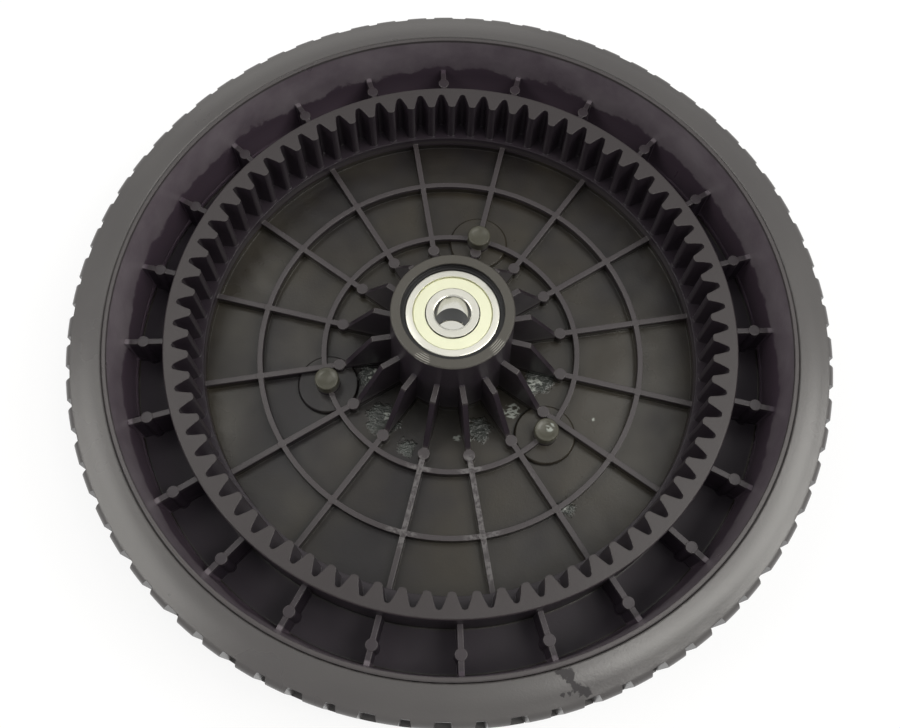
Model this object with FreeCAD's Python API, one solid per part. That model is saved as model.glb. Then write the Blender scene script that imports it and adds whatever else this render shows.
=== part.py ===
import FreeCAD, Part
import math
import os

# Drive wheel of a walk-behind lawn mower, lying on its outboard face with the ring gear up.
# The axle line is Z and the floor is z = 0. Lengths are millimetres and angles degrees.

# Rim and web of the moulded wheel
rim_width = 41.0
rim_r = 117.2
lip_wall = 1.5
rim_wall_at_web = 3.6
edge_chamfer = 0.4
web_outer_z = 6.0
web_thickness = 3.0
outer_lip_wall = 2.2
keeper_height = 3.2
keeper_width = 14.0
keeper_taper = 2.0

# Ring gear moulded into the wheel
gear_module = 2.5
gear_teeth = 74
pressure_angle = 20.0
tooth_dedendum = 1.25
tooth_rounding = 0.45
gear_ring_r = 98.75
gear_face_below_lip = 6.3
gear_face_width = 19.0
ledge_r = 89.0

# Hub and the rows of ribs
hub_r = 20.9
hub_root_r = 22.2
hub_rise_above_lip = 5.9
hub_outer_end_z = 4.0
bearing_recess = 1.9
hub_mouth_r = 17.5
hub_mouth_depth = 1.8
nut_recess_r = 18.5
pattern_angle = 34.4
web_rib_count = 16
web_rib_height = 3.9
web_rib_thickness = 1.9
circle_rib_thickness = 1.8
circle_rib_radii = (46.2, 69.4)
gusset_top_below_gear = 2.5
gusset_top_r = 27.9
gusset_foot_r = 38.8
gusset_pad_r = 40.8
gusset_pad_d = 4.2
crossing_pad_d = 3.0
channel_rib_count = 24
channel_rib_thickness = 1.9
channel_rib_below_gear = 9.7
channel_pad_r = 108.1
channel_pad_d = 4.0
pad_rise = 0.15

# Cap bosses on the web
boss_count = 3
boss_r = circle_rib_radii[0]
boss_first_angle = pattern_angle + 45.0
boss_disc_d = 22.0
boss_disc_rise = 1.7
boss_disc_edge = 0.6
boss_d = 8.6
boss_rise = 7.7
boss_rim_chamfer = 0.3
boss_dimple_d = 6.6
boss_dimple_floor_d = 4.6
boss_dimple_depth = 0.4
boss_pilot_d = 3.4
boss_pilot_depth = 8.0

# Tyre
tyre_r = 130.0
tyre_seat_clearance = 0.2
tyre_edge_r = 117.8
tyre_edge_below_lip = 0.3
sidewall_bulge = 0.35
shoulder_r = 127.2
shoulder_below_lip = 2.0
shoulder_drop = 2.7
shoulder_bulge = 0.7
groove_r = 128.0
block_pairs = 36
block_top_angle = 2.8
block_offset = 2.3
block_draft_per_mm = 0.13
tread_stagger = 2.5
tread_phase = 1.6

# Shielded deep groove ball bearings and the sleeve between them
bearing_bore = 12.0
bearing_od = 32.0
bearing_width = 10.0
bearing_corner = 0.6
seat_clearance = 0.05
ball_d = 5.953
ball_count = 7
ball_circle_d = 22.0
race_clearance = 0.15
inner_shoulder_d = 17.9
outer_shoulder_d = 25.7
shield_seat_d = 27.0
shield_seat_depth = 1.1
shield_sheet = 0.4
shield_below_face = 0.5
shield_gap = 0.35
shield_rim_width = 0.9
cage_sheet = 0.5
cage_width = 2.2
rivet_d = 0.9
rivet_head_d = 1.5
rivet_head_height = 0.3
rivet_clearance = 0.05
sleeve_length = 10.0
sleeve_od = 17.0
sleeve_bore = 12.4
bearing_stop_r = 13.6

# Levels and radii that follow from the sizes above
web_top_z = web_outer_z + web_thickness
gear_face_z = rim_width - gear_face_below_lip
tooth_floor_z = gear_face_z - gear_face_width
web_rib_top_z = web_top_z + web_rib_height
channel_rib_top_z = gear_face_z - channel_rib_below_gear
hub_top_z = rim_width + hub_rise_above_lip
bearing_spacing = bearing_width + sleeve_length
inboard_center_z = hub_top_z - bearing_recess - bearing_width / 2
outboard_center_z = inboard_center_z - bearing_spacing
rim_inner_r = rim_r - lip_wall
rim_web_r = rim_r - rim_wall_at_web
mid_z = rim_width / 2
overlap = 1.0
edge_tolerance = 0.001

AXIS = FreeCAD.Vector(0, 0, 1)
CENTER = FreeCAD.Vector(0, 0, 0)


def point(r, z, angle=0.0):
    """Point at radius r, height z and an angle in degrees about the axle line."""
    turn = math.radians(angle)
    return FreeCAD.Vector(r * math.cos(turn), r * math.sin(turn), z)


def turned(section):
    """Solid of revolution of a closed list of (r, z) points."""
    corners = [point(r, z) for r, z in section]
    face = Part.Face(Part.makePolygon(corners + corners[:1]))
    return face.revolve(CENTER, AXIS, 360)


def ring(r_in, r_out, z_low, z_high):
    """Plain ring between two radii and two heights."""
    return turned([(r_in, z_low), (r_out, z_low), (r_out, z_high), (r_in, z_high)])


def rounded_at(shape, r, rounding):
    """Copy of a turned shape with its circular edges of radius r rounded."""
    circles = [edge for edge in shape.Edges if hasattr(edge.Curve, "Radius")]
    chosen = [edge for edge in circles if abs(edge.Curve.Radius - r) < edge_tolerance]
    return shape.makeFillet(rounding, chosen)


def rotated(shape, angle):
    """Copy of a shape turned about the axle line."""
    copy = shape.copy()
    copy.rotate(CENTER, AXIS, angle)
    return copy


def around(shape, count, first_angle=0.0):
    """Evenly spaced copies of a shape about the axle line."""
    return [rotated(shape, first_angle + 360.0 * k / count) for k in range(count)]


def post(d, r, z_low, z_high):
    """Upright cylinder standing at radius r on the X side."""
    return Part.makeCylinder(d / 2, z_high - z_low, point(r, z_low))


def radial_plate(section, thickness):
    """Upright plate along the X radius, from its (r, z) outline."""
    corners = [FreeCAD.Vector(r, -thickness / 2, z) for r, z in section]
    face = Part.Face(Part.makePolygon(corners + corners[:1]))
    return face.extrude(FreeCAD.Vector(0, thickness, 0))


def arc(a, b, c):
    """Edge through three points."""
    return Part.Arc(a, b, c).toShape()


def bowed(a, b, bulge):
    """Arc from a to b in the XZ plane, bowed by a given height to the left of that direction."""
    chord = b - a
    outward = FreeCAD.Vector(-chord.z, 0, chord.x).normalize()
    return arc(a, (a + b) * 0.5 + outward * bulge, b)


# Ring gear

pitch_r = gear_module * gear_teeth / 2
tip_r = pitch_r - gear_module
root_r = pitch_r + tooth_dedendum * gear_module


def involute_turn(r):
    """Involute function, in radians, of the pressure angle at radius r."""
    base_r = pitch_r * math.cos(math.radians(pressure_angle))
    angle = math.acos(base_r / r)
    return math.tan(angle) - angle


def half_space(r):
    """Half the angle, in degrees, of the gap between two teeth at radius r."""
    half_pitch = math.pi / (2 * gear_teeth)
    return math.degrees(half_pitch + involute_turn(pitch_r) - involute_turn(r))


def tooth_space_prism():
    """Everything inside the tooth outline, from the tooth floor to above the face."""
    pitch_angle = 360.0 / gear_teeth
    flank_radii = (tip_r + tooth_rounding, pitch_r, root_r - tooth_rounding)
    edges = []
    for k in range(gear_teeth):
        middle = (k + 0.5) * pitch_angle
        rising = [point(r, tooth_floor_z, middle - half_space(r)) for r in flank_radii]
        falling = [point(r, tooth_floor_z, middle + half_space(r)) for r in reversed(flank_radii)]
        root = point(root_r, tooth_floor_z, middle)
        tip = point(tip_r, tooth_floor_z, middle + pitch_angle / 2)
        next_flank = middle + pitch_angle - half_space(flank_radii[0])
        next_start = point(flank_radii[0], tooth_floor_z, next_flank)
        edges.append(arc(*rising))
        edges.append(arc(rising[-1], root, falling[0]))
        edges.append(arc(*falling))
        edges.append(arc(falling[-1], tip, next_start))
    face = Part.Face(Part.Wire(edges))
    return face.extrude(AXIS * (gear_face_width + overlap))


def gear_ring():
    """Toothed ring standing on the web, with a plain ledge below its teeth."""
    blank = turned([
        (ledge_r, web_outer_z + overlap),
        (gear_ring_r, web_outer_z + overlap),
        (gear_ring_r, gear_face_z - edge_chamfer),
        (gear_ring_r - edge_chamfer, gear_face_z),
        (ledge_r, gear_face_z),
    ])
    return rotated(blank.cut(tooth_space_prism()), pattern_angle)


# Moulded wheel

def rim_web_and_hub():
    """Rim barrel with its tyre keeper, web plate and hub tube, as one turned section."""
    return turned([
        (nut_recess_r, hub_outer_end_z),
        (hub_root_r, hub_outer_end_z),
        (hub_root_r, web_outer_z),
        (rim_web_r, web_outer_z),
        (rim_r - outer_lip_wall, 0),
        (rim_r - edge_chamfer, 0),
        (rim_r, edge_chamfer),
        (rim_r, mid_z - keeper_width / 2 - keeper_taper),
        (rim_r + keeper_height, mid_z - keeper_width / 2),
        (rim_r + keeper_height, mid_z + keeper_width / 2),
        (rim_r, mid_z + keeper_width / 2 + keeper_taper),
        (rim_r, rim_width - edge_chamfer),
        (rim_r - edge_chamfer, rim_width),
        (rim_inner_r, rim_width),
        (rim_web_r, web_top_z),
        (hub_root_r, web_top_z),
        (hub_r, hub_top_z - edge_chamfer),
        (hub_r - edge_chamfer, hub_top_z),
        (hub_mouth_r, hub_top_z),
        (hub_mouth_r, hub_top_z - hub_mouth_depth),
        (bearing_od / 2 + seat_clearance, hub_top_z - hub_mouth_depth),
        (bearing_od / 2 + seat_clearance, inboard_center_z - bearing_width / 2),
        (bearing_stop_r, inboard_center_z - bearing_width / 2),
        (bearing_stop_r, outboard_center_z + bearing_width / 2),
        (bearing_od / 2 + seat_clearance, outboard_center_z + bearing_width / 2),
        (bearing_od / 2 + seat_clearance, outboard_center_z - bearing_width / 2 - bearing_recess),
        (nut_recess_r, outboard_center_z - bearing_width / 2 - bearing_recess),
    ])


def web_ribs():
    """Radial ribs with their hub gussets, the circular ribs and the round pads on them."""
    low_z = web_top_z - overlap
    rib = radial_plate([
        (hub_r - overlap, low_z),
        (ledge_r + overlap, low_z),
        (ledge_r + overlap, web_rib_top_z),
        (gusset_foot_r, web_rib_top_z),
        (gusset_top_r, gear_face_z - gusset_top_below_gear),
        (hub_r - overlap, gear_face_z - gusset_top_below_gear),
    ], web_rib_thickness)
    shapes = around(rib, web_rib_count, pattern_angle)
    for r in circle_rib_radii:
        half = circle_rib_thickness / 2
        shapes.append(ring(r - half, r + half, low_z, web_rib_top_z))
    gusset_pad = post(gusset_pad_d, gusset_pad_r, low_z, web_rib_top_z + pad_rise)
    crossing_pad = post(crossing_pad_d, circle_rib_radii[1], low_z, web_rib_top_z + pad_rise)
    shapes += around(gusset_pad, web_rib_count, pattern_angle)
    shapes += around(crossing_pad, web_rib_count, pattern_angle)
    return shapes


def channel_ribs():
    """Ribs that tie the ring gear to the rim, each with a round pad at mid length."""
    low_z = web_top_z - overlap
    rib_outer_r = rim_web_r + overlap
    rib = radial_plate([
        (gear_ring_r - overlap, low_z),
        (rib_outer_r, low_z),
        (rib_outer_r, channel_rib_top_z),
        (gear_ring_r - overlap, channel_rib_top_z),
    ], channel_rib_thickness)
    pad = post(channel_pad_d, channel_pad_r, low_z, channel_rib_top_z + pad_rise)
    return around(rib, channel_rib_count, pattern_angle) + around(pad, channel_rib_count, pattern_angle)


def cap_bosses():
    """Bosses on round plinths, with a dimple in each top."""
    low_z = web_top_z - overlap
    disc_z = web_top_z + boss_disc_rise
    top_z = web_top_z + boss_rise
    boss = turned([
        (0, low_z),
        (boss_disc_d / 2, low_z),
        (boss_disc_d / 2, disc_z - boss_disc_edge),
        (boss_disc_d / 2 - boss_disc_edge, disc_z),
        (boss_d / 2, disc_z),
        (boss_d / 2, top_z - boss_rim_chamfer),
        (boss_d / 2 - boss_rim_chamfer, top_z),
        (boss_dimple_d / 2, top_z),
        (boss_dimple_floor_d / 2, top_z - boss_dimple_depth),
        (0, top_z - boss_dimple_depth),
    ])
    boss.translate(point(boss_r, 0))
    return around(boss, boss_count, boss_first_angle)


def boss_holes():
    """Blind pilot holes in the bosses, from the outboard face."""
    pilot = post(boss_pilot_d, boss_r, web_outer_z - overlap, web_outer_z + boss_pilot_depth)
    return around(pilot, boss_count, boss_first_angle)


def wheel_body():
    """One-piece moulding of rim, web, ring gear, ribs and hub."""
    pieces = [gear_ring()] + web_ribs() + channel_ribs() + cap_bosses()
    body = rim_web_and_hub().fuse(pieces)
    return body.cut(boss_holes()).removeSplitter()


# Tyre

def block_half_angle(r):
    """Half the angle of a tread block at radius r; the flanks are drafted."""
    return block_top_angle / 2 + block_draft_per_mm * (tyre_r - r)


def tread_outline(z_low, z_high):
    """Prism of the tread blocks seen along the axle: drafted blocks over a plain groove floor."""
    top_r = tyre_r + overlap
    half_top = block_half_angle(top_r)
    half_foot = block_half_angle(groove_r)
    pair_angle = 360.0 / block_pairs
    corners = []
    for k in range(block_pairs):
        middle = (k + 0.5) * pair_angle
        for center in (middle - block_offset, middle + block_offset):
            corners.append(point(groove_r, z_low, center - half_foot))
            corners.append(point(top_r, z_low, center - half_top))
            corners.append(point(top_r, z_low, center + half_top))
            corners.append(point(groove_r, z_low, center + half_foot))
    face = Part.Face(Part.makePolygon(corners + corners[:1]))
    return face.extrude(AXIS * (z_high - z_low))


def tyre_half():
    """Gear-side half of the tyre, from the middle of the tread to the sidewall."""
    bore_r = rim_r + tyre_seat_clearance
    keeper_r = rim_r + keeper_height + tyre_seat_clearance
    keeper_top_z = mid_z + keeper_width / 2 + tyre_seat_clearance
    edge_z = rim_width - tyre_edge_below_lip
    shoulder_z = rim_width - shoulder_below_lip
    shoulder = point(shoulder_r, shoulder_z)
    straight = [
        point(tyre_r, shoulder_z - shoulder_drop),
        point(tyre_r, mid_z),
        point(keeper_r, mid_z),
        point(keeper_r, keeper_top_z),
        point(bore_r, keeper_top_z + keeper_taper),
        point(bore_r, edge_z - edge_chamfer),
        point(tyre_edge_r, edge_z),
    ]
    sidewall = bowed(straight[-1], shoulder, sidewall_bulge)
    corner = bowed(shoulder, straight[0], shoulder_bulge)
    section = Part.Wire(Part.makePolygon(straight).Edges + [sidewall, corner])
    half = Part.Face(section).revolve(CENTER, AXIS, 360)
    return half.common(tread_outline(mid_z - overlap, rim_width))


def tyre():
    """Ring tyre with two staggered rows of tread blocks, gripping the keeper of the rim."""
    upper = tyre_half()
    lower = upper.mirror(FreeCAD.Vector(0, 0, mid_z), AXIS)
    lower = rotated(lower, tread_stagger)
    return rotated(upper.fuse(lower).removeSplitter(), tread_phase)


# Ball bearings

ball_r = ball_d / 2
ball_circle_r = ball_circle_d / 2
pocket_r = ball_r + race_clearance


def race_groove(center_z):
    """Ring-shaped cut of the ball track in both bearing rings."""
    return Part.makeTorus(ball_circle_r, pocket_r, FreeCAD.Vector(0, 0, center_z), AXIS)


def outer_ring(center_z):
    """Outer bearing ring with its ball track and a seat for each shield."""
    low_z = center_z - bearing_width / 2
    high_z = center_z + bearing_width / 2
    outer_r = bearing_od / 2
    shoulder = outer_shoulder_d / 2
    seat = shield_seat_d / 2
    blank = turned([
        (seat, low_z),
        (outer_r, low_z),
        (outer_r, high_z),
        (seat, high_z),
        (seat, high_z - shield_seat_depth),
        (shoulder, high_z - shield_seat_depth),
        (shoulder, low_z + shield_seat_depth),
        (seat, low_z + shield_seat_depth),
    ])
    return rounded_at(blank, outer_r, bearing_corner).cut(race_groove(center_z))


def inner_ring(center_z):
    """Inner bearing ring with its ball track and rounded bore edges."""
    low_z = center_z - bearing_width / 2
    high_z = center_z + bearing_width / 2
    bore_r = bearing_bore / 2
    shoulder = inner_shoulder_d / 2
    blank = ring(bore_r, shoulder, low_z, high_z)
    return rounded_at(blank, bore_r, bearing_corner).cut(race_groove(center_z))


def shield(center_z, side):
    """Pressed steel shield; side is +1 for the upper face and -1 for the lower one."""
    face = bearing_width / 2
    disc_top = face - shield_below_face
    disc_low = disc_top - shield_sheet
    rim_low = face - shield_seat_depth
    inner_r = inner_shoulder_d / 2 + shield_gap
    outer_r = shield_seat_d / 2 - seat_clearance
    section = [
        (inner_r, disc_low),
        (outer_r - shield_rim_width, disc_low),
        (outer_r - shield_rim_width, rim_low),
        (outer_r, rim_low),
        (outer_r, disc_top - shield_sheet),
        (outer_r - shield_sheet, disc_top),
        (inner_r, disc_top),
    ]
    return turned([(r, center_z + side * z) for r, z in section])


def ball(center_z, angle):
    """One ball on its circle."""
    return rotated(Part.makeSphere(ball_r, point(ball_circle_r, center_z)), angle)


def cage_half(center_z, side):
    """Half of the ribbon cage: flat lands with a bowed pocket over each ball."""
    inner_r = ball_circle_r - cage_width / 2
    outer_r = ball_circle_r + cage_width / 2
    low_z = min(center_z, center_z + side * cage_sheet)
    start = point(inner_r, center_z)
    along = FreeCAD.Vector(1, 0, 0)
    bow = Part.makeCylinder(pocket_r + cage_sheet, cage_width, start, along)
    width = 2 * (pocket_r + cage_sheet)
    keep_low_z = min(center_z, center_z + side * width)
    keep = Part.makeBox(cage_width, width, width, FreeCAD.Vector(inner_r, -width / 2, keep_low_z))
    pocket = Part.makeCylinder(pocket_r, cage_width + 2 * overlap, start - along * overlap, along)
    hole = post(rivet_d + 2 * rivet_clearance, ball_circle_r, center_z - overlap, center_z + overlap)
    lands = ring(inner_r, outer_r, low_z, low_z + cage_sheet)
    cuts = around(pocket, ball_count) + around(hole, ball_count, 180.0 / ball_count)
    return lands.fuse(around(bow.common(keep), ball_count)).cut(cuts)


def cage_rivets(center_z):
    """Rivets that hold the two cage halves together, one on each land."""
    shank_r = rivet_d / 2
    head_r = rivet_head_d / 2
    length = 2 * cage_sheet
    corners = [
        (0, -length / 2 - rivet_head_height),
        (head_r, -length / 2 - rivet_head_height),
        (head_r, -length / 2),
        (shank_r, -length / 2),
        (shank_r, length / 2),
        (head_r, length / 2),
        (head_r, length / 2 + rivet_head_height),
        (0, length / 2 + rivet_head_height),
    ]
    rivet = turned(corners)
    rivet.translate(point(ball_circle_r, center_z))
    return Part.makeCompound(around(rivet, ball_count, 180.0 / ball_count))


def bearing(name, center_z):
    """All pieces of one bearing, by node name."""
    pieces = {
        name + "_outer_ring": outer_ring(center_z),
        name + "_inner_ring": inner_ring(center_z),
        name + "_cage_upper": cage_half(center_z, 1),
        name + "_cage_lower": cage_half(center_z, -1),
        name + "_cage_rivets": cage_rivets(center_z),
        name + "_shield_upper": shield(center_z, 1),
        name + "_shield_lower": shield(center_z, -1),
    }
    for k in range(ball_count):
        pieces[name + "_ball_" + str(k + 1)] = ball(center_z, 360.0 * k / ball_count)
    return pieces


def spacer_sleeve():
    """Tube that keeps the two inner rings apart."""
    low_z = outboard_center_z + bearing_width / 2
    return ring(sleeve_bore / 2, sleeve_od / 2, low_z, low_z + sleeve_length)


# Output, one file for each node

nodes = {
    "wheel_body": wheel_body(),
    "tyre": tyre(),
    "spacer_sleeve": spacer_sleeve(),
}
nodes.update(bearing("inboard", inboard_center_z))
nodes.update(bearing("outboard", outboard_center_z))

os.makedirs("parts", exist_ok=True)
for node, shape in nodes.items():
    shape.exportStep("parts/" + node + ".step")
    print(node, len(shape.Solids), shape.isValid(), round(shape.Volume, 1))
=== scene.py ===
import math
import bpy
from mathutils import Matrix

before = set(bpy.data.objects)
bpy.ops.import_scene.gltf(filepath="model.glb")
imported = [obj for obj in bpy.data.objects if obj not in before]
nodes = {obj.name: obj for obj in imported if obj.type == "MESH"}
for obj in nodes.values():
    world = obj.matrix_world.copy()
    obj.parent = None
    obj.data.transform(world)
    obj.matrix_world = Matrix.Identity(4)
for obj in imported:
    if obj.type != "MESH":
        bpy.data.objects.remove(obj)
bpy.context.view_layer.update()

from types import SimpleNamespace

import bpy
import numpy as np
from mathutils import Matrix, Vector

scene = bpy.context.scene
scene.view_settings.view_transform = "Standard"

# Faces by height above the floor, in metres: where one begins or ends, or both
GEAR_SIDE_FROM_Z = 0.0075
RIM_WALL_FROM_Z = 0.0090
# Below about this height painted fill light pales the rim's inner wall
PAINTED_FILL_FOOT_BELOW_Z = 0.0100
WEB_BELOW_Z = 0.0110
RIB_FACE_Z = (0.0124, 0.0138)
BOSS_FACE_FROM_Z = 0.0128
CHANNEL_BELOW_Z = 0.0220
# Height of the ragged painted shadow line on the rim's inner wall
PAINTED_SHADOW_LINE_Z = 0.0240
CHANNEL_RIB_FACE_Z = (0.0245, 0.0262)
GUSSET_FACE_FROM_Z = 0.0312
TYRE_SIDEWALL_FROM_Z = 0.0340
GEAR_FACE_FROM_Z = 0.0343
LIP_FACE_FROM_Z = 0.0397
HUB_MOUTH_Z = (0.0429, 0.0460)
HUB_FACE_FROM_Z = 0.0461

# Faces by distance from the axle line, in metres
HUB_MOUTH_R = 0.0177
HUB_R = 0.0222
GUSSET_END_R = 0.0300
GEAR_TIP_R = 0.0900
GEAR_RING_R = 0.0988
CHANNEL_R = (0.0994, 0.1129)
RIM_WALL_FROM_R = 0.1127
LIP_FROM_R = 0.1135
BEARING_BORE_R = 0.0064

# Cap bosses: distance from the axle line and radius of the top in metres, places round it in degrees
BOSS_PLACE_R = 0.0462
BOSS_FACE_R = 0.0045
BOSS_TURNS = (79.4, 199.4, 319.4)

# Places of marks on the wheel, some of them painted highlights: x, y and radius, in metres
DRIED_GREASE = ((-0.0229, -0.0272, 0.0050), (0.0112, -0.0290, 0.0034), (-0.0140, -0.0372, 0.0020),
                (0.0330, -0.0092, 0.0042), (-0.0290, -0.0110, 0.0030), (0.0430, -0.0562, 0.0018))
# Painted highlight spots on dried grease and in a boss's dimple
PAINTED_GLINT_SPOTS = ((0.0233, -0.0214, 0.0027), (0.0312, -0.0107, 0.0026), (-0.0213, -0.0260, 0.0014),
                 (0.0040, -0.0328, 0.0012), (0.0078, -0.0330, 0.0010), (-0.0288, -0.0112, 0.0016),
                 (-0.0268, -0.0092, 0.0011), (0.0432, -0.0560, 0.0011), (0.0526, -0.0228, 0.0001),
                 (0.0362, -0.0292, 0.0014))
# Scratch rings on the hub's edge: partly real scratches, painted bright as a highlight
HUB_SCRATCHES_AND_HIGHLIGHT = ((0.0155, -0.0123, 0.0022), (-0.0092, -0.0179, 0.0020))
# Pale streaks on the near ribs' tops: partly scuffs, partly painted highlight
NEAR_RIB_SCUFFS_AND_SHEEN = ((-0.0086, -0.0450, 0.0030), (-0.0106, -0.0558, 0.0050), (-0.0132, -0.0680, 0.0040),
              (0.0088, -0.0440, 0.0030), (0.0114, -0.0546, 0.0050), (0.0142, -0.0666, 0.0050),
              (0.0167, -0.0792, 0.0025), (0.0278, -0.0470, 0.0020))
TYRE_SMUDGE = ((0.0372, -0.1124, 0.0009), (0.0386, -0.1127, 0.0012), (0.0402, -0.1126, 0.0012),
               (0.0404, -0.1142, 0.0009), (0.0412, -0.1156, 0.0009), (0.0424, -0.1165, 0.0012),
               (0.0440, -0.1171, 0.0014), (0.0454, -0.1174, 0.0012), (0.0382, -0.1186, 0.0005),
               (0.0404, -0.1184, 0.0004))

# Colours that vary over a surface, in linear RGB: from one to the other
PLASTIC_COLORS = ((0.0205, 0.0150, 0.0215), (0.0265, 0.0205, 0.0255))
# Web: random blotches, partly tone and partly painted sheen
WEB_TONE_AND_SHEEN_COLORS = ((0.0040, 0.0024, 0.0032), (0.0240, 0.0200, 0.0135))
# Rim's inner wall: painted lit band above the shadow line, painted shade below it, paler at the foot
PAINTED_LIT_BAND_COLORS = ((0.094, 0.076, 0.091), (0.150, 0.130, 0.145))
PAINTED_SHADE_WALL_COLORS = ((0.058, 0.042, 0.057), (0.115, 0.086, 0.113))
TYRE_COLORS = ((0.056, 0.052, 0.053), (0.074, 0.070, 0.068))
RING_STEEL_COLORS = ((0.77, 0.76, 0.68), (0.84, 0.83, 0.75))
SHEET_STEEL_COLORS = ((0.76, 0.77, 0.57), (0.82, 0.83, 0.64))
# Spacer sleeve: dark as painted shade deep in the bore
PAINTED_SHADE_SLEEVE_COLORS = ((0.045, 0.047, 0.047), (0.10, 0.10, 0.10))
PAPER_COLORS = ((0.90, 0.90, 0.90), (0.93, 0.93, 0.93))

# Plain colours, in linear RGB
# Hub mouth around the bearing: painted shade
PAINTED_SHADE_MOUTH_COLOR = (0.004, 0.0035, 0.004)
# Rib and gusset tops: painted highlight
PAINTED_LIT_RIB_TOP_COLOR = (0.038, 0.032, 0.034)
# Near ribs' streaks: partly scuffs, partly painted highlight
RIB_SCUFF_AND_SHEEN_COLOR = (0.120, 0.114, 0.114)
# Channel rib tops: painted highlight
PAINTED_LIT_CHANNEL_RIB_COLOR = (0.031, 0.024, 0.029)
# Sharp edges of top faces: painted highlight
PAINTED_EDGE_HIGHLIGHT_COLOR = (0.100, 0.090, 0.092)
LIP_COLOR = (0.050, 0.044, 0.045)
GEAR_COLOR = (0.027, 0.0220, 0.0230)
BOSS_COLOR = (0.046, 0.044, 0.030)
# Deep channel between gear ring and rim: painted shade, purple-tinted
PAINTED_SHADE_CHANNEL_COLOR = (0.0200, 0.0130, 0.0215)
GREASE_COLOR = (0.046, 0.052, 0.047)
# Glints: painted highlight
PAINTED_GLINT_COLOR = (0.26, 0.275, 0.25)
HUB_COLOR = (0.054, 0.050, 0.042)
# Hub scratch rings: partly real, partly painted highlight
HUB_SCRATCH_HIGHLIGHT_COLOR = (0.30, 0.29, 0.26)
SMUDGE_COLOR = (0.010, 0.0075, 0.009)
LAMP_COLOR = (1.0, 0.985, 0.93)

# Lamps: name, azimuth and elevation in degrees, width and height in metres, power in watts; all as far away
PANELS = (
    ("right_panel", 2.0, 48.0, 0.62, 0.50, 6.8),
    ("left_panel", 188.0, 48.0, 0.80, 0.50, 5.2),
    ("far_panel", 105.0, 24.0, 1.00, 0.50, 1.2),
    ("far_right_panel", 45.0, 68.0, 0.40, 0.36, 0.7),
    ("far_left_panel", 138.0, 65.0, 0.45, 0.34, 0.9),
    ("near_right_panel", -28.0, 64.0, 0.36, 0.34, 3.4),
)
PANEL_DISTANCE = 1.3

# Surroundings: strength of their light at the horizon and straight above
HORIZON_STRENGTH = 0.72
ZENITH_STRENGTH = 0.55

# Floor: half its width in metres, and the share of glow in its look
FLOOR_HALF_WIDTH = 3.0
FLOOR_GLOW_SHARE = 0.8

# Shading: corners up to this distance in metres are one, edges flatter than this angle are smooth
WELD_DISTANCE = 1e-6
SMOOTH_BELOW_DEGREES = 25.0
BEVEL_SAMPLES = 3

BALL_COUNT = 7


class Value:
    """A socket with Python arithmetic: each operator adds one Math node."""

    def __init__(self, shading, socket):
        self.shading = shading
        self.socket = socket

    def __add__(self, other):
        return self.shading.math("ADD", self, other)

    def __sub__(self, other):
        return self.shading.math("SUBTRACT", self, other)

    def __rsub__(self, other):
        return self.shading.math("SUBTRACT", other, self)

    def __mul__(self, other):
        return self.shading.math("MULTIPLY", self, other)

    def __truediv__(self, other):
        return self.shading.math("DIVIDE", self, other)

    def __rtruediv__(self, other):
        return self.shading.math("DIVIDE", other, self)

    __radd__ = __add__
    __rmul__ = __mul__

    def clamped(self):
        """The value held between 0 and 1."""
        return self.shading.math("MAXIMUM", self.shading.math("MINIMUM", self, 1.0), 0.0)

    def above(self, low, soft):
        """0 up to low, rising to 1 over the width soft."""
        return ((self - low) / soft).clamped()

    def between(self, low, high, soft):
        """1 inside the range low to high, falling to 0 over the width soft outside it."""
        return self.above(low - soft, soft) * ((high + soft - self) / soft).clamped()


class Shading:
    """A node tree with its coordinates at hand."""

    def __init__(self, tree, coordinates):
        self.tree = tree
        self.place = self.node("ShaderNodeTexCoord", out=coordinates)
        parts = self.node("ShaderNodeSeparateXYZ", inputs=(self.place,))
        self.x, self.y, self.z = (Value(self, socket) for socket in parts.socket.node.outputs)

    def put(self, socket, value):
        """Links a value to a socket, or sets a plain number, vector or colour on it."""
        if isinstance(value, Value):
            self.tree.links.new(value.socket, socket)
        elif socket.type == "RGBA":
            socket.default_value = (*value, 1.0)
        else:
            socket.default_value = value

    def node(self, kind, settings=None, inputs=(), out=0):
        """Adds a node: its settings first, then its inputs by position or by name."""
        made = self.tree.nodes.new(kind)
        for key, value in (settings or {}).items():
            setattr(made, key, value)
        pairs = inputs.items() if isinstance(inputs, dict) else enumerate(inputs)
        for key, value in pairs:
            self.put(made.inputs[key], value)
        return Value(self, made.outputs[out])

    def math(self, operation, *values):
        """Adds a Math node on values and numbers."""
        return self.node("ShaderNodeMath", {"operation": operation}, values)


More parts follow.
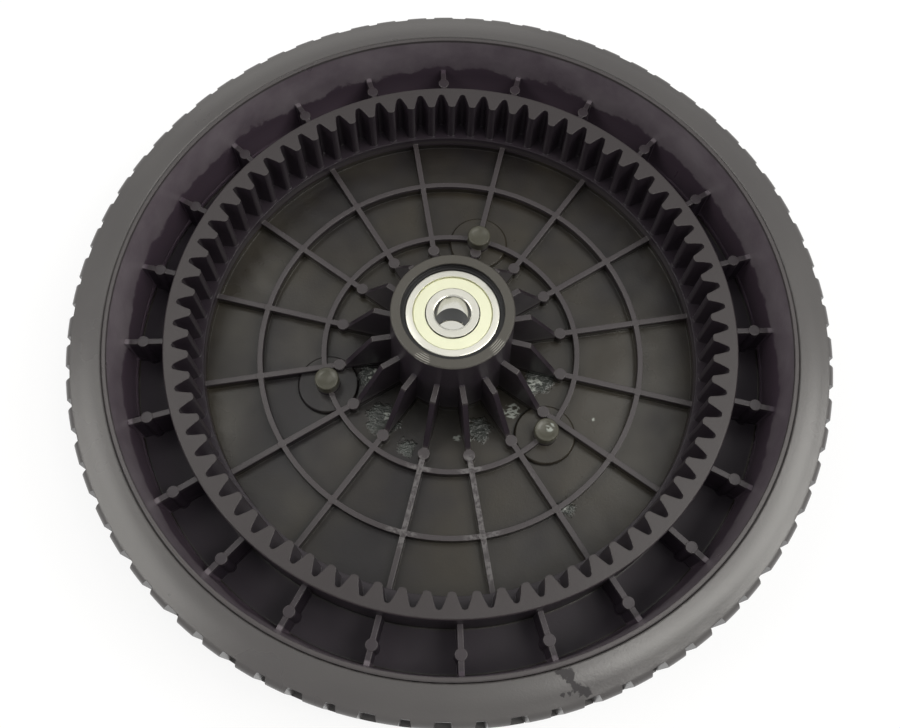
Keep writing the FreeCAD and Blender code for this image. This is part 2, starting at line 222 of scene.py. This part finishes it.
class Finish(Shading):
    """One procedural material around a Principled shader, in Object coordinates."""

    def __init__(self, name):
        self.material = bpy.data.materials.new(name)
        self.material.use_nodes = True
        self.material.node_tree.nodes.clear()
        super().__init__(self.material.node_tree, "Object")
        self.r = self.math("SQRT", self.x * self.x + self.y * self.y)
        self.output = self.tree.nodes.new("ShaderNodeOutputMaterial")
        self.shader = self.node("ShaderNodeBsdfPrincipled")
        self.show(self.shader)

    def show(self, shader):
        """Puts a shader on the surface, in place of the one before."""
        self.put(self.output.inputs["Surface"], shader)

    def noise(self, scale, detail, roughness=0.5, where=None):
        """Smooth noise from 0 to 1 over the object, about scale features to the metre."""
        values = {"Vector": where or self.place, "Scale": scale, "Detail": detail, "Roughness": roughness}
        return self.node("ShaderNodeTexNoise", inputs=values)

    def stretched(self, x, y, z):
        """Object coordinates multiplied axis by axis, for streaks."""
        return self.node("ShaderNodeMapping", inputs={"Vector": self.place, "Scale": (x, y, z)})

    def ring_place(self):
        """Coordinates that change only with the distance from the axle and along it, for turning lines."""
        return self.node("ShaderNodeCombineXYZ", inputs=(self.r, 0.0, self.z))

    def spots(self, places, soft, offset=0.0):
        """1 within any of the given circles, seen along the axle; the offset moves their soft rims."""
        total = 0.0
        for x, y, radius in places:
            across, along = self.x - x, self.y - y
            distance = self.math("SQRT", across * across + along * along)
            total = self.math("MAXIMUM", total, 1.0 - (distance + offset).above(radius, soft))
        return total

    def rounded(self, radius):
        """Normal as if the edges were rounded by a small radius."""
        return self.node("ShaderNodeBevel", {"samples": BEVEL_SAMPLES}, {"Radius": radius})

    def edges(self, radius):
        """1 along sharp edges, 0 on flat faces: how far a rounded normal leans from the true one."""
        flat = self.node("ShaderNodeNewGeometry", out="True Normal")
        normals = (self.rounded(radius), flat)
        lean = self.node("ShaderNodeVectorMath", {"operation": "DOT_PRODUCT"}, normals, out="Value")
        return (1.0 - lean).above(0.01, soft=0.10)

    def mix(self, amount, first, second):
        """Blend of two colours; the Mix node's colour sockets are the inputs 6 and 7 and the output 2."""
        return self.node("ShaderNodeMix", {"data_type": "RGBA"}, {0: amount, 6: first, 7: second}, out=2)

    def layers(self, color, *layers):
        """Lays further colours over the first, each where its mask is 1."""
        for mask, layer_color in layers:
            color = self.mix(mask, color, layer_color)
        return color

    def bump(self, height, distance, strength, edge):
        """Normal from a height, over edges rounded by a small radius."""
        inputs = {"Height": height, "Distance": distance, "Strength": strength, "Normal": self.rounded(edge)}
        return self.node("ShaderNodeBump", inputs=inputs)

    def shade(self, **sockets):
        """Sets the shader's own sockets; underscores in a name stand for spaces."""
        for name, value in sockets.items():
            self.put(self.shader.socket.node.inputs[name.replace("_", " ")], value)
        return self.material


def wear(*names, material):
    """Gives the named nodes one material."""
    for name in names:
        mesh = nodes[name].data
        mesh.materials.clear()
        mesh.materials.append(material)


def wheel_faces(f):
    """Masks of the wheel body's faces, by height and by distance from the axle."""
    gear_side = f.z.above(GEAR_SIDE_FROM_Z, soft=0.0005)
    turns = [math.radians(turn) for turn in BOSS_TURNS]
    bosses = [(BOSS_PLACE_R * math.cos(t), BOSS_PLACE_R * math.sin(t), BOSS_FACE_R) for t in turns]
    inside_gear = 1.0 - f.r.above(GEAR_TIP_R, soft=0.001)
    channel_depth = gear_side * (1.0 - f.z.above(CHANNEL_BELOW_Z, soft=0.002))
    return SimpleNamespace(
        gear_side=gear_side,
        web=1.0 - f.z.above(WEB_BELOW_Z, soft=0.001),
        rib=f.z.between(*RIB_FACE_Z, soft=0.0003) * inside_gear,
        gusset=f.z.above(GUSSET_FACE_FROM_Z, soft=0.0004) * f.r.between(HUB_R, GUSSET_END_R, soft=0.0005),
        boss=f.spots(bosses, soft=0.0003) * f.z.above(BOSS_FACE_FROM_Z, soft=0.0004),
        hub=f.z.above(HUB_FACE_FROM_Z, soft=0.0006) * (1.0 - f.r.above(HUB_R, soft=0.001)),
        hub_mouth=f.z.between(*HUB_MOUTH_Z, soft=0.0004) * (1.0 - f.r.above(HUB_MOUTH_R, soft=0.0003)),
        gear=f.z.above(GEAR_FACE_FROM_Z, soft=0.0003) * f.r.between(GEAR_TIP_R, GEAR_RING_R, soft=0.001),
        channel=f.r.between(*CHANNEL_R, soft=0.0004) * channel_depth,
        channel_rib=f.z.between(*CHANNEL_RIB_FACE_Z, soft=0.0003) * f.r.above(GEAR_RING_R, soft=0.0005),
        rim_wall=f.r.above(RIM_WALL_FROM_R, soft=0.0006) * f.z.above(RIM_WALL_FROM_Z, soft=0.001),
        lip=f.z.above(LIP_FACE_FROM_Z, soft=0.0005) * f.r.above(LIP_FROM_R, soft=0.0005),
    )


def wheel_marks(f, face, cloud, grain, crumple):
    """Masks of wear, dirt and painted highlights on the wheel body: glints and edges are painted highlight,
    rib scuffs and hub scuffs partly so; the scuffs on the hub are rings, a sine of the radius.
    """
    ragged = f.noise(420.0, detail=4.0, roughness=0.6) - 0.5
    glint_place = (face.web + face.boss).clamped() * face.gear_side * crumple.above(0.47, soft=0.06)
    rings = f.math("SINE", (f.r + cloud * 0.0006) * 9000.0).above(0.55, soft=0.25)
    top_faces = (face.rib + face.channel_rib + face.gusset + face.gear * 0.5).clamped()
    # Rib tops broken up by grain, for streaks that are partly scuffs and partly painted highlight
    streaked_rib = face.rib * grain.above(0.42, soft=0.12)
    return SimpleNamespace(
        grease=f.spots(DRIED_GREASE, soft=0.0016, offset=ragged * 0.007) * face.web * face.gear_side,
        # Painted highlight spots on crumpled grease and in a boss's dimple
        painted_glint=f.spots(PAINTED_GLINT_SPOTS, soft=0.0005, offset=ragged * 0.003) * glint_place,
        # Scratch rings on the hub: partly real, partly painted highlight
        hub_scratch_highlight=f.spots(HUB_SCRATCHES_AND_HIGHLIGHT, soft=0.0008, offset=ragged * 0.003) * rings * face.hub,
        rib_scuff_and_sheen=f.spots(NEAR_RIB_SCUFFS_AND_SHEEN, soft=0.0020, offset=ragged * 0.004) * streaked_rib,
        # Painted highlight along the sharp edges of the top faces
        edge=f.edges(0.0005) * top_faces,
    )


def rim_wall_painted_light(f):
    """Rim's inner wall: a painted lit band down to a ragged painted shadow line, painted shade below it,
    paler again at the foot by painted fill light.
    """
    lit_band_noise = f.noise(48.0, detail=5.0, roughness=0.65)
    upper = f.mix(lit_band_noise.above(0.32, soft=0.36), *PAINTED_LIT_BAND_COLORS)
    # Painted fill light towards the wall's foot
    foot = 1.0 - f.z.above(PAINTED_FILL_FOOT_BELOW_Z, soft=0.012)
    lower = f.mix(foot, *PAINTED_SHADE_WALL_COLORS)
    # Ragged painted shadow line: painted lit band above it, painted shade below
    return f.mix((f.z + (lit_band_noise - 0.5) * 0.018).above(PAINTED_SHADOW_LINE_Z, soft=0.0012), lower, upper)


def wheel_plastic():
    """Black moulded plastic: satin, with flow streaks and dried grease; web blotches partly painted sheen,
    rib scuffs and hub scratches partly painted highlight, painted highlights on top faces, edges and glints,
    painted light and shade on the rim's inner wall, painted shade in the hub mouth and channel.
    """
    f = Finish("wheel_plastic")
    cloud = f.noise(35.0, detail=4.0)
    patch = f.noise(24.0, detail=3.0, roughness=0.55)
    sink = f.noise(26.0, detail=2.0)
    grain = f.noise(900.0, detail=3.0, roughness=0.6)
    speck = f.noise(2600.0, detail=2.0)
    streak = f.noise(60.0, detail=4.0, roughness=0.6, where=f.stretched(1.0, 1.0, 0.15))
    crumple = f.noise(620.0, detail=3.0, where=f.stretched(1.0, 1.7, 1.0))
    face = wheel_faces(f)
    mark = wheel_marks(f, face, cloud, grain, crumple)
    color = f.layers(
        f.mix(cloud, *PLASTIC_COLORS),
        # Web blotches: partly random tone, partly painted sheen
        (face.web, f.mix(patch.above(0.36, soft=0.26), *WEB_TONE_AND_SHEEN_COLORS)),
        # Hub mouth darkened: painted shade
        (face.hub_mouth, PAINTED_SHADE_MOUTH_COLOR),
        # Rib and gusset tops paler: painted highlight
        ((face.rib + face.gusset).clamped(), PAINTED_LIT_RIB_TOP_COLOR),
        # Pale streaks on the near ribs: partly scuffs, partly painted highlight
        (mark.rib_scuff_and_sheen * 0.75, RIB_SCUFF_AND_SHEEN_COLOR),
        # Channel rib tops paler: painted highlight
        (face.channel_rib, PAINTED_LIT_CHANNEL_RIB_COLOR),
        # Painted highlight along the top faces' edges
        (mark.edge * 0.8, PAINTED_EDGE_HIGHLIGHT_COLOR),
        # Painted light and shade on the rim's inner wall
        (face.rim_wall, rim_wall_painted_light(f)),
        (face.lip, LIP_COLOR),
        (face.gear, GEAR_COLOR),
        (face.boss, BOSS_COLOR),
        # Deep channel darkened: painted shade
        (face.channel, PAINTED_SHADE_CHANNEL_COLOR),
        (mark.grease * 0.8, GREASE_COLOR),
        # Painted highlight spots
        (mark.painted_glint, PAINTED_GLINT_COLOR),
        (face.hub, HUB_COLOR),
        # Hub scratch rings: partly painted highlight
        (mark.hub_scratch_highlight, HUB_SCRATCH_HIGHLIGHT_COLOR),
    )
    shine = (cloud - 0.5) * 0.20 + (streak - 0.5) * 0.10 + (0.5 - patch) * face.web * 0.30
    roughness = 0.32 + shine + face.gear * 0.06 + face.channel * 0.28 - mark.grease * 0.12
    moulding = grain * 0.5 + speck * 0.25 + streak * 0.6 + sink * face.web * 20.0
    normal = f.bump(moulding + crumple * mark.grease * 9.0, distance=0.00012, strength=0.6, edge=0.0005)
    return f.shade(Base_Color=color, Roughness=roughness.clamped(), Normal=normal)


def tyre_plastic():
    """Firm dark tyre: satin sidewall with a soft grain and one oily smudge."""
    f = Finish("tyre_plastic")
    cloud = f.noise(28.0, detail=4.0)
    grain = f.noise(1300.0, detail=3.0, roughness=0.6)
    ragged = f.noise(800.0, detail=4.0, roughness=0.6) - 0.5
    sidewall = f.z.above(TYRE_SIDEWALL_FROM_Z, soft=0.001)
    smudge = f.spots(TYRE_SMUDGE, soft=0.0004, offset=ragged * 0.0034) * sidewall
    color = f.layers(f.mix(cloud, *TYRE_COLORS), (smudge, SMUDGE_COLOR))
    roughness = 0.29 + (cloud - 0.5) * 0.12 + smudge * 0.30
    normal = f.bump(grain, distance=0.00005, strength=0.6, edge=0.0004)
    return f.shade(Base_Color=color, Roughness=roughness.clamped(), Normal=normal)


def bearing_steel():
    """Ground ring steel with fine turning lines, smoothest in the bore."""
    f = Finish("bearing_steel")
    turning = f.noise(2400.0, detail=3.0, roughness=0.6, where=f.ring_place())
    color = f.mix(f.noise(90.0, detail=2.0), *RING_STEEL_COLORS)
    bore = 1.0 - f.r.above(BEARING_BORE_R, soft=0.0004)
    roughness = 0.32 + (turning - 0.5) * 0.12 - bore * 0.18
    normal = f.bump(turning, distance=0.00002, strength=0.4, edge=0.0002)
    return f.shade(Base_Color=color, Roughness=roughness, Metallic=1.0, Normal=normal)


def sheet_steel():
    """Pressed sheet steel with a pale, slightly green zinc coat."""
    f = Finish("sheet_steel")
    cloud = f.noise(120.0, detail=3.0)
    turning = f.noise(1800.0, detail=2.0, roughness=0.6, where=f.ring_place())
    color = f.mix(cloud, *SHEET_STEEL_COLORS)
    roughness = 0.50 + (cloud - 0.5) * 0.12 + (turning - 0.5) * 0.08
    normal = f.bump(turning, distance=0.00002, strength=0.3, edge=0.0002)
    return f.shade(Base_Color=color, Roughness=roughness, Metallic=1.0, Normal=normal)


def sleeve_steel():
    """Drawn tube, dull, its dark colour painted shade deep in the bore beside the bearings."""
    f = Finish("sleeve_steel")
    streak = f.noise(500.0, detail=3.0, where=f.stretched(1.0, 1.0, 0.05))
    color = f.mix(streak, *PAINTED_SHADE_SLEEVE_COLORS)
    return f.shade(Base_Color=color, Roughness=0.38 + streak * 0.14, Metallic=1.0)


def smooth_by_angle(obj, degrees):
    """Merges the node's loose triangles for shading and smooths edges flatter than the angle."""
    weld = obj.modifiers.new("weld", "WELD")
    weld.merge_threshold = WELD_DISTANCE
    obj.data.polygons.foreach_set("use_smooth", np.ones(len(obj.data.polygons), dtype=bool))
    split = obj.modifiers.new("edges", "EDGE_SPLIT")
    split.split_angle = math.radians(degrees)


wear("wheel_body", material=wheel_plastic())
wear("tyre", material=tyre_plastic())
wear("spacer_sleeve", material=sleeve_steel())
steel = bearing_steel()
sheet = sheet_steel()
for side in ("inboard", "outboard"):
    balls = [f"{side}_ball_{number}" for number in range(1, BALL_COUNT + 1)]
    wear(f"{side}_outer_ring", f"{side}_inner_ring", *balls, material=steel)
    wear(f"{side}_shield_upper", f"{side}_shield_lower", material=sheet)
    wear(f"{side}_cage_upper", f"{side}_cage_lower", f"{side}_cage_rivets", material=sheet)

for obj in nodes.values():
    smooth_by_angle(obj, SMOOTH_BELOW_DEGREES)


def floor_paper():
    """White paper that reads white to the camera and still takes the wheel's shadow."""
    f = Finish("floor_paper")
    f.shade(Base_Color=f.mix(f.noise(4.0, detail=2.0), *PAPER_COLORS), Roughness=0.9)
    camera, glossy, transmission = (
        f.node("ShaderNodeLightPath", out=f"Is {kind} Ray") for kind in ("Camera", "Glossy", "Transmission"))
    seen = (camera + glossy + transmission).clamped()
    glow = f.node("ShaderNodeEmission", inputs={"Strength": 1.0})
    f.show(f.node("ShaderNodeMixShader", inputs=(seen * FLOOR_GLOW_SHARE, f.shader, glow)))
    return f.material


def lay_floor(half):
    """Square of four corners at the height the rim rests on."""
    corners = np.array([[-1, -1, 0], [1, -1, 0], [1, 1, 0], [-1, 1, 0]], dtype=float) * half
    mesh = bpy.data.meshes.new("floor")
    mesh.from_pydata(corners.tolist(), [], [(0, 1, 2, 3)])
    mesh.materials.append(floor_paper())
    obj = bpy.data.objects.new("floor", mesh)
    scene.collection.objects.link(obj)


def room_light(horizon, zenith):
    """White surroundings: strength falls from the horizon to straight above as (1 - height) squared."""
    world = bpy.data.worlds.new("room")
    scene.world = world
    world.use_nodes = True
    room = Shading(world.node_tree, "Generated")
    low = 1.0 - room.z.clamped()
    sky = world.node_tree.nodes["Background"]
    room.put(sky.inputs["Color"], (1.0, 1.0, 1.0))
    room.put(sky.inputs["Strength"], low * low * (horizon - zenith) + zenith)


def panel_light(name, azimuth, elevation, width, height, power):
    """Rectangular lamp in a direction from the wheel, turned to it, with a slightly warm white."""
    turn, rise = math.radians(azimuth), math.radians(elevation)
    away = Vector((math.cos(turn) * math.cos(rise), math.sin(turn) * math.cos(rise), math.sin(rise)))
    lamp = bpy.data.lights.new(name, "AREA")
    lamp.shape = "RECTANGLE"
    lamp.size = width
    lamp.size_y = height
    lamp.energy = power
    lamp.color = LAMP_COLOR
    obj = bpy.data.objects.new(name, lamp)
    facing = (-away).to_track_quat("-Z", "Y").to_matrix()
    obj.matrix_world = Matrix.Translation(away * PANEL_DISTANCE) @ facing.to_4x4()
    scene.collection.objects.link(obj)


def photo_camera():
    """Camera at the photograph's place: tilted down at the wheel and rolled about its own axis.

    Turns are in radians, its place is in metres, sensor and lens are in millimetres.
    """
    tilt = 1.2003952675
    roll = 0.0528801
    place = Vector((0.0000237, -0.1308737, 0.3345628))
    ahead = Vector((0.0, math.cos(tilt), -math.sin(tilt)))
    right = Vector((1.0, 0.0, 0.0))
    up = Vector((0.0, math.sin(tilt), math.cos(tilt)))
    right_rolled = right * math.cos(roll) + up * math.sin(roll)
    up_rolled = up * math.cos(roll) - right * math.sin(roll)
    data = bpy.data.cameras.new("camera")
    data.sensor_fit = "HORIZONTAL"
    data.sensor_width = 36.0
    data.lens = 38.0
    data.clip_start = 0.01
    obj = bpy.data.objects.new("camera", data)
    turn = Matrix((right_rolled, up_rolled, -ahead)).transposed()
    obj.matrix_world = Matrix.Translation(place) @ turn.to_4x4()
    scene.collection.objects.link(obj)
    scene.camera = obj


lay_floor(FLOOR_HALF_WIDTH)
room_light(HORIZON_STRENGTH, ZENITH_STRENGTH)
for panel in PANELS:
    panel_light(*panel)
photo_camera()
